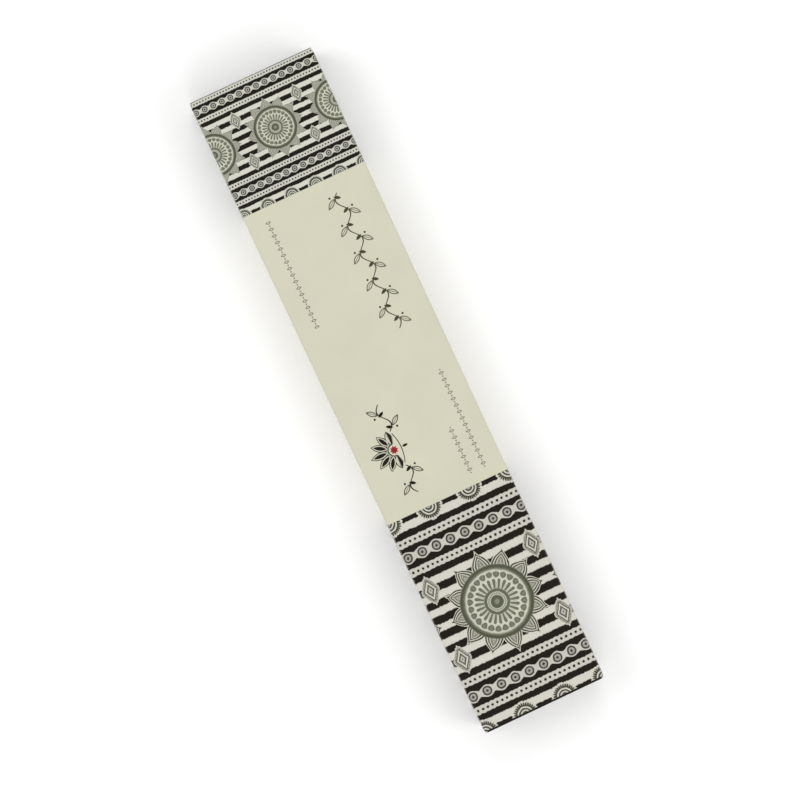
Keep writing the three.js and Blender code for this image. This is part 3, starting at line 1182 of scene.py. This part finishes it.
class CARTON_OT_closures(bpy.types.Operator):
    """Cut and fold the two closures, each with its tuck tab"""

    bl_idname = "carton.closures"
    bl_label = "Closures"

    def execute(self, context):
        for end in ("head", "foot"):
            self.make(context.scene, end)
        return {"FINISHED"}

    def make(self, scene, end):
        sizes = scene.carton_sizes
        blank = Blank(sizes)
        radius = sizes.fold_radius
        root = -HALF_LENGTH + CLOSURE_CREASE
        hinge = Crease(ALONG, root, -1, radius)
        fold_height = TUCK_CLEARANCE + radius
        tuck = Crease(
            ALONG, hinge.end - (DEPTH - radius - fold_height), -1, radius, QUARTER + sizes.tab_lean,
            steps=7)
        # Where the tab's straight part begins and how long it is, from the closure's outer face
        bend_end = radius + radius * math.sin(sizes.tab_lean)
        tab = (TAB_TIP - bend_end) / math.cos(sizes.tab_lean)
        tip = tuck.end - tab
        half = CLOSURE_WIDTH / 2
        neck = half - CLOSURE_TAPER[1]
        full = root - CLOSURE_TAPER[0]
        tab_half = half - TAB_INSET
        shoulder = tuck.start + SHOULDER
        tab_start = tuck.start - TAB_START
        sheet = Sheet([
            (root, neck), (full, half), (shoulder, half), (tab_start, tab_half), (tip, tab_half),
            (tip, -tab_half), (tab_start, -tab_half), (shoulder, -half), (full, -half), (root, -neck)])
        sheet.round_corners([(tip, tab_half), (tip, -tab_half)], sizes.tab_corner)
        sheet.score(ALONG, hinge.lines[1:] + tuck.lines)
        sheet.score(ALONG, steps_between(hinge.end, tuck.start, 6))
        sheet.score(ALONG, steps_between(tuck.end, tip, 4))
        sheet.score(ACROSS, steps_between(-half, half, 12))
        sheet.keep_flat()
        sheet.fold(tuck)
        sheet.fold(hinge)
        sheet.place(Matrix.Translation((0, 0, DEPTH)))
        turned = turned_to_foot(sheet, blank.back_middle) if end == "foot" else None
        sheet.thicken(sizes.board)
        tiles = small_tiles((tip, -half), (root, half))
        sheet.map_sheet(sizes.board, tiles, turned)
        piece = finish_piece(
            sheet, f"printed_{end}_closure", carton_materials(scene),
            f"{end}_closure")
        start = Vector((root - BEND_MARGIN, 0, DEPTH))
        stop = Vector((-HALF_LENGTH, 0, DEPTH - radius + BEND_MARGIN))
        if end == "foot":
            start, stop = (Vector((-p.x, 0, DEPTH - p.z)) for p in (start, stop))
        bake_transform(piece)


class CARTON_OT_dust_flaps(bpy.types.Operator):
    """Cut and fold the four dust flaps"""

    bl_idname = "carton.dust_flaps"
    bl_label = "Dust Flaps"

    def execute(self, context):
        for end in ("head", "foot"):
            for side in ("left", "right"):
                self.make(context.scene, end, side)
        return {"FINISHED"}

    def make(self, scene, end, side):
        sizes = scene.carton_sizes
        blank = Blank(sizes)
        radius = sizes.fold_radius
        root = -HALF_LENGTH + FLAP_FACE + radius
        hinge = Crease(ALONG, root, -1, radius)
        length = FLAP_TIP - radius
        tip = hinge.end - length
        high, low = (blank.side_at(z) for z in (FLAP_TOP, FLAP_FOOT))
        high_tip = high + FLAP_SLOPE * (length + radius)
        outline = [(root, high), (tip, high_tip), (tip, low), (root, low)]
        if side == "left":
            outline = [(x, -y) for x, y in outline]
        sheet = Sheet(outline)
        sheet.round_corners([outline[1], outline[2]], FLAP_CORNER)
        sheet.score(ALONG, hinge.lines[1:])
        sheet.score(ALONG, steps_between(hinge.end, tip, 6))
        across = (outline[0][1], outline[2][1])
        sheet.score(ACROSS, steps_between(min(across), max(across), 5))
        sheet.keep_flat()
        sheet.fold(hinge)
        # The side panel's face stands at y = -HALF_WIDTH on the left and +HALF_WIDTH on the right
        sign = -1 if side == "left" else 1
        stand = Matrix.Rotation(-sign * QUARTER, 4, "X")
        sheet.place(Matrix.Translation((0, sign * HALF_WIDTH, blank.side_top)) @ stand)
        turned = turned_to_foot(sheet, sign * blank.back_middle) if end == "foot" else None
        sheet.thicken(sizes.board)
        tiles = small_tiles((tip, min(across)), (root, max(across)))
        sheet.map_sheet(sizes.board, tiles, turned)
        name = f"{end}_dust_flap_{side}"
        piece = finish_piece(
            sheet, f"board_{name}", carton_materials(scene), name)
        start = Vector((root - BEND_MARGIN, sign * HALF_WIDTH, DEPTH / 2))
        stop = Vector((root - radius, sign * (HALF_WIDTH - radius + BEND_MARGIN), DEPTH / 2))
        if end == "foot":
            start.x, stop.x = -start.x, -stop.x
        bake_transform(piece)


class CARTON_PT_panel(bpy.types.Panel):
    """Builds the carton's pieces and shows its settings"""

    bl_label = "Incense Stick Carton"
    bl_idname = "CARTON_PT_panel"
    bl_space_type = "VIEW_3D"
    bl_region_type = "UI"
    bl_category = "Carton"

    def draw(self, context):
        layout = self.layout
        for operator in OPERATORS:
            layout.operator(operator.bl_idname)
        for settings in (context.scene.carton_sizes, context.scene.carton_print,
                         context.scene.carton_studio):
            box = layout.box()
            for name in settings.__annotations__:
                box.prop(settings, name)


SETTINGS = {
    "carton_sizes": CartonSizes, "carton_print": CartonPrint, "carton_studio": CartonStudio}
OPERATORS = (CARTON_OT_stage, CARTON_OT_sleeve, CARTON_OT_closures, CARTON_OT_dust_flaps)
CLASSES = (*SETTINGS.values(), *OPERATORS, CARTON_PT_panel)


def register():
    for item in CLASSES:
        bpy.utils.register_class(item)
    for name, group in SETTINGS.items():
        setattr(bpy.types.Scene, name, PointerProperty(type=group))


def unregister():
    for name in SETTINGS:
        delattr(bpy.types.Scene, name)
    for item in reversed(CLASSES):
        bpy.utils.unregister_class(item)


def main():
    register()
    bpy.ops.carton.stage()
    bpy.ops.carton.sleeve()
    bpy.ops.carton.closures()
    bpy.ops.carton.dust_flaps()


if __name__ == "__main__":
    main()
